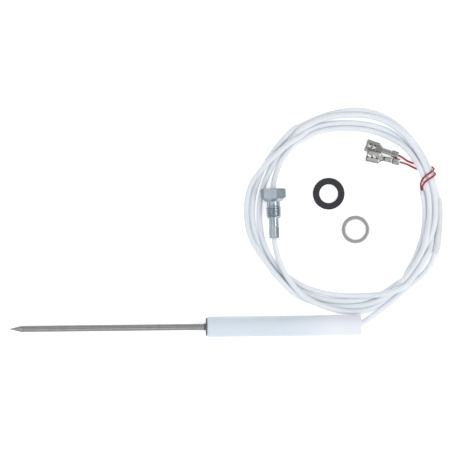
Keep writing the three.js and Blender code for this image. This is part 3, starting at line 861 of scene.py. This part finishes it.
def build_sleeve(path):
    """A short length of wider tube pushed over the cable, cut square at both ends."""
    points, faces = [], []
    sides = 24
    tangent = np.gradient(path, axis=0)
    tangent /= np.linalg.norm(tangent, axis=1)[:, None]
    inner = CABLE_R + 0.05
    rings = [(0, inner, 0), (0, SLEEVE_R - 0.1, 0), (0, SLEEVE_R, 0.12)]
    rings += [(i, SLEEVE_R, 0) for i in range(1, len(path) - 1)]
    rings += [(-1, SLEEVE_R, -0.12), (-1, SLEEVE_R - 0.1, 0), (-1, inner, 0)]
    rings += [(i, inner, 0) for i in range(len(path) - 2, 0, -1)]
    for i, r, shift in rings:
        across = np.cross(tangent[i], (0, 0, 1))
        across /= np.linalg.norm(across)
        up = np.cross(across, tangent[i])
        for k in range(sides):
            angle = 2 * math.pi * k / sides
            centre = path[i] + tangent[i] * shift
            points.append(tuple(centre + r * (math.cos(angle) * across + math.sin(angle) * up)))
    for ring in range(len(rings)):
        following = (ring + 1) % len(rings)
        for k in range(sides):
            j = (k + 1) % sides
            faces.append((ring * sides + k, ring * sides + j, following * sides + j, following * sides + k))
    return add_piece("sleeve", points, faces, LOOKS["sleeve"], ["cable_sleeve"])


def build_lead(level, place, settled, start):
    """A red lead from inside the cable's end, once round the coil, and into its receptacle."""
    matrix = receptacle_matrix(place)
    entry = (RECEPTACLE_LENGTH + 1, 20, RECEPTACLE_CRIMP + 0.4)
    into = [tuple(matrix @ Vector((x, 0, 1.5))) for x in entry]
    path = glide([start, *settled[3:-2:2], *into], 0.5)
    points, faces = tube(path, LEAD_R, 14)
    lead = add_piece(f"lead_{level}", points, faces, LOOKS["lead"], [f"red_lead_{level}"])


LEAD_INSIDE = 1.2  # how far inside the sheath a lead starts
LEAD_OFF_AXIS = (0.4, 0, 0.45)


def build_cords():
    """The cable with what sits on it, and each lead with its receptacle."""
    cable_path, lead_paths, sleeve_span = settle_cords()
    gland_pieces = build_gland()
    sleeve = build_sleeve(cable_path[sleeve_span])
    build_cable(cable_path)
    out_of_cable = cable_path[-1] - cable_path[-3]
    out_of_cable /= np.linalg.norm(out_of_cable)
    inside = cable_path[-1] - LEAD_INSIDE * out_of_cable
    places = (UPPER_PLACE, LOWER_PLACE)
    for level, place, settled, side in zip(("upper", "lower"), places, lead_paths, (-1, 1)):
        start = tuple(inside + side * np.array(LEAD_OFF_AXIS))
        ends = [build_receptacle(level, place), build_strands(level, place)]
        build_lead(level, place, settled, start)


# ---- needle and handle ----
def build_needle():
    """The solid point and the tube behind it, with the weld seam where they meet."""
    cone = TIP_X + TIP_CONE
    seam = TIP_X + TIP_LENGTH
    tip = [(0, TIP_X)]
    tip += [(NEEDLE_R * t ** 0.97, TIP_X + TIP_CONE * t) for t in np.linspace(0.02, 0.97, 14)]
    tip += [(NEEDLE_R - 0.01, cone + 0.1), (NEEDLE_R, cone + 0.4), (NEEDLE_R, seam - 0.4)]
    tip += [(NEEDLE_R + 0.05, seam - 0.3), (NEEDLE_R + 0.05, seam - 0.15), (NEEDLE_R - 0.15, seam)]
    tip += [(NEEDLE_BORE_R - FIT, seam), (NEEDLE_BORE_R - FIT, seam + 2), (0, seam + 2)]
    points, faces = revolve(tip, 64)
    add_piece("needle_point", along_probe(points), faces, LOOKS["needle"],
              ["needle_tip"], sharp=30)
    start = seam + 0.03
    shaft = [(NEEDLE_BORE_R, start), (NEEDLE_R - 0.15, start), (NEEDLE_R - 0.1, start + 0.3)]
    shaft += [(NEEDLE_R + 0.04, start + 0.5), (NEEDLE_R, start + 0.8)]
    shaft += [(NEEDLE_R, x) for x in np.linspace(start + 4, NEEDLE_END - 1, 36)]
    shaft += [(NEEDLE_R, NEEDLE_END - 0.2), (NEEDLE_R - 0.2, NEEDLE_END), (NEEDLE_BORE_R, NEEDLE_END)]
    points, faces = revolve(shaft, 64)
    add_piece("needle_shaft", along_probe(points), faces, LOOKS["needle"],
              ["needle_tube"], sharp=30)


def build_collar():
    """The thin disc on the handle's front, which runs out along the needle."""
    front = -COLLAR_THICKNESS
    start = front - FILLET_LENGTH
    outline = rounded([
        (NEEDLE_R + 0.05, start), (NEEDLE_R + 0.2, start), (FILLET_R, front - 0.3), (FILLET_R + 0.3, front),
        (COLLAR_R - 0.3, front), (COLLAR_R, front + 0.3), (COLLAR_R, -FIT), (NEEDLE_R + 0.05, -FIT),
    ], 0.25, steps=5)
    points, faces = revolve(outline, 96)
    add_piece("collar", along_probe(points), faces, LOOKS["collar"],
              ["front_collar"], sharp=50)


NICK_X = 52.6
NICK_ANGLE = math.radians(131)
NICK_DEPTH = 0.3
NICK_LENGTH = 0.3
NICK_WIDTH = 0.9


def handle_radius(angle, radius, height):
    """The handle is round, with one small nick high on its -Y side."""
    if radius < HANDLE_R - 0.1:
        return radius
    along = (height - NICK_X) / NICK_LENGTH
    turned = (angle - NICK_ANGLE) * HANDLE_R / NICK_WIDTH
    return radius - NICK_DEPTH * math.exp(-along * along) * math.exp(-turned ** 4)


def build_handle():
    """The hollow handle, and the bush that closes its rear."""
    rear = HANDLE_LENGTH
    bush_seat = rear - BUSH_LENGTH - FIT
    front = [
        (HANDLE_R - HANDLE_ROUND + HANDLE_ROUND * math.sin(a), HANDLE_ROUND - HANDLE_ROUND * math.cos(a))
        for a in np.linspace(0, math.pi / 2, 9)
    ]
    middle = [(HANDLE_R, x) for x in np.arange(4, 51, 4)]
    middle += [(HANDLE_R, x) for x in np.arange(51.4, 53.9, 0.1)]  # closer rings round the nick
    middle += [(HANDLE_R, x) for x in np.arange(56, 99, 4)]
    back = rounded([
        (HANDLE_R, rear - 1), (HANDLE_R, rear), (BUSH_R + FIT, rear), (BUSH_R + FIT, rear - 1),
    ], 0.3, closed=False)
    inside = [
        (BUSH_R + FIT, bush_seat), (CHAMBER_R, bush_seat), (CHAMBER_R, SOCKET_DEPTH),
        (NEEDLE_R + FIT, SOCKET_DEPTH), (NEEDLE_R + FIT, 0),
    ]
    points, faces = revolve(front + middle + back + inside, 96, handle_radius)
    add_piece("handle", along_probe(points), faces, LOOKS["handle"],
              ["handle_body"], sharp=35)
    start = rear - BUSH_LENGTH
    bore = CABLE_R + 0.3
    bell = [
        (bore + MOUTH_FLARE * (1 - math.cos(a)), rear - MOUTH_LENGTH + (MOUTH_LENGTH - 0.3) * math.sin(a))
        for a in np.linspace(0, math.pi / 2, 8)
    ]
    bush = [(bore, start), *bell, (bore + MOUTH_FLARE + 0.3, rear - FIT), (BUSH_R - 0.15, rear - FIT)]
    bush += [(BUSH_R, rear - 0.25), (BUSH_R, start)]
    points, faces = revolve(bush, 72)
    add_piece("bush", along_probe(points), faces, LOOKS["handle"], ["rear_bush"])


# ---- washers ----
def washer_outline(washer):
    """A washer's section, with a steeper bevel at the top of its hole."""
    inner, outer, thickness, bevel = (washer[k] for k in ("inner", "outer", "thickness", "bevel"))
    steep = bevel * washer["steepness"]
    return [
        (inner, bevel), (inner + bevel, 0), (outer - bevel, 0), (outer, bevel), (outer, thickness - bevel),
        (outer - bevel, thickness), (inner + bevel, thickness), (inner, thickness - steep),
    ]


def build_washers():
    """The two loose washers, each on its own body."""
    points, faces = revolve(rounded(washer_outline(RUBBER_WASHER), 0.25), 128)
    add_piece("rubber_sealing_washer", upright(points, RUBBER_WASHER["at"]), faces, LOOKS["rubber"],
              ["rubber_washer"], body="rubber_washer")
    points, faces = revolve(rounded(washer_outline(SEAL_RING), 0.15), 128)
    add_piece("metal_sealing_ring", upright(points, SEAL_RING["at"]), faces, LOOKS["ring"],
              ["seal_ring"], body="seal_ring", sharp=30)


# ---- inner pieces, which keep their CAD shape ----
INNER_LOOKS = {
    "needle_anchor": "needle", "sensor_element": "ceramic", "sensor_wire_a": "core",
    "sensor_wire_b": "core", "splice_a": "tin", "splice_b": "tin", "cable_core_a": "core",
    "cable_core_b": "core", "cable_clamp": "tin",
}


def colour_inner_pieces():
    for node, name in INNER_LOOKS.items():
        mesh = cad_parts[node].data
        mesh.materials.clear()
        mesh.materials.append(LOOKS[name])


# ---- floor and light ----
FLOOR_HALF = 3.0
# The sky's grey levels by height, from the horizon at 0 to straight up at 1.
HORIZON = (0.28, 0.285, 0.29, 1)
SKY_LEVELS = ((0.15, 0.45), (0.35, 0.66), (0.6, 1.02), (0.97, 1.05), (0.99, 0.5))
ZENITH = (0.25, 0.255, 0.26, 1)


def build_floor():
    """A plain pale floor, just below the ground so that it doesn't touch the pieces' undersides."""
    mesh = bpy.data.meshes.new("floor")
    half = FLOOR_HALF
    corners = [(-half, -half, 0), (half, -half, 0), (half, half, 0), (-half, half, 0)]
    mesh.from_pydata(corners, [], [(0, 1, 2, 3)])
    floor = bpy.data.objects.new("floor", mesh)
    floor.location.z = -0.02 * MM
    material = look("floor", (0.90, 0.90, 0.90), (0.88, 0.88, 0.88), 0.01, (0.9, 1.0))
    shader = material.node_tree.nodes["Principled BSDF"]
    shader.inputs["Emission Color"].default_value = (1, 1, 1, 1)
    shader.inputs["Emission Strength"].default_value = 0.45
    mesh.materials.append(material)
    bpy.context.scene.collection.objects.link(floor)


def add_softbox(name, direction, distance, width, height, power):
    """A rectangular soft light that faces the object from a direction."""
    data = bpy.data.lights.new(name, "AREA")
    data.shape = "RECTANGLE"
    data.size = width
    data.size_y = height
    data.energy = power
    lamp = bpy.data.objects.new(name, data)
    towards = Vector(direction).normalized()
    lamp.location = VIEW_CENTRE + towards * distance
    lamp.rotation_euler = towards.to_track_quat("Z", "Y").to_euler()
    bpy.context.scene.collection.objects.link(lamp)


def build_sky():
    """A dome that is dim at the horizon, a little dimmer towards +Y, and dark round its top,
    where the camera would stand."""
    world = bpy.data.worlds.new("studio")
    world.use_nodes = True
    tree = world.node_tree
    background = tree.nodes["Background"]
    place = tree.nodes.new("ShaderNodeTexCoord")
    split = tree.nodes.new("ShaderNodeSeparateXYZ")
    ramp = tree.nodes.new("ShaderNodeValToRGB")
    ramp.color_ramp.elements[0].position = 0.0
    ramp.color_ramp.elements[0].color = HORIZON
    ramp.color_ramp.elements[1].position = 1.0
    ramp.color_ramp.elements[1].color = ZENITH
    for position, level in SKY_LEVELS:
        ramp.color_ramp.elements.new(position).color = (level, level * 1.01, level * 1.02, 1)
    tree.links.new(place.outputs["Generated"], split.inputs["Vector"])
    tree.links.new(split.outputs["Z"], ramp.inputs["Fac"])
    tree.links.new(ramp.outputs["Color"], background.inputs["Color"])
    tilt = tree.nodes.new("ShaderNodeMapRange")
    tilt.inputs["From Min"].default_value = -0.6
    tilt.inputs["From Max"].default_value = 0.7
    tilt.inputs["To Min"].default_value = 1.15
    tilt.inputs["To Max"].default_value = 0.8
    tree.links.new(split.outputs["Y"], tilt.inputs["Value"])
    tree.links.new(tilt.outputs["Result"], background.inputs["Strength"])
    bpy.context.scene.world = world


build_cords()
build_needle()
build_collar()
build_handle()
build_washers()
colour_inner_pieces()
build_floor()
build_sky()
add_softbox("key", (0.60, -0.10, 0.80), 1.3, 1.1, 0.11, 3.0)
bpy.context.scene.view_settings.view_transform = "Standard"
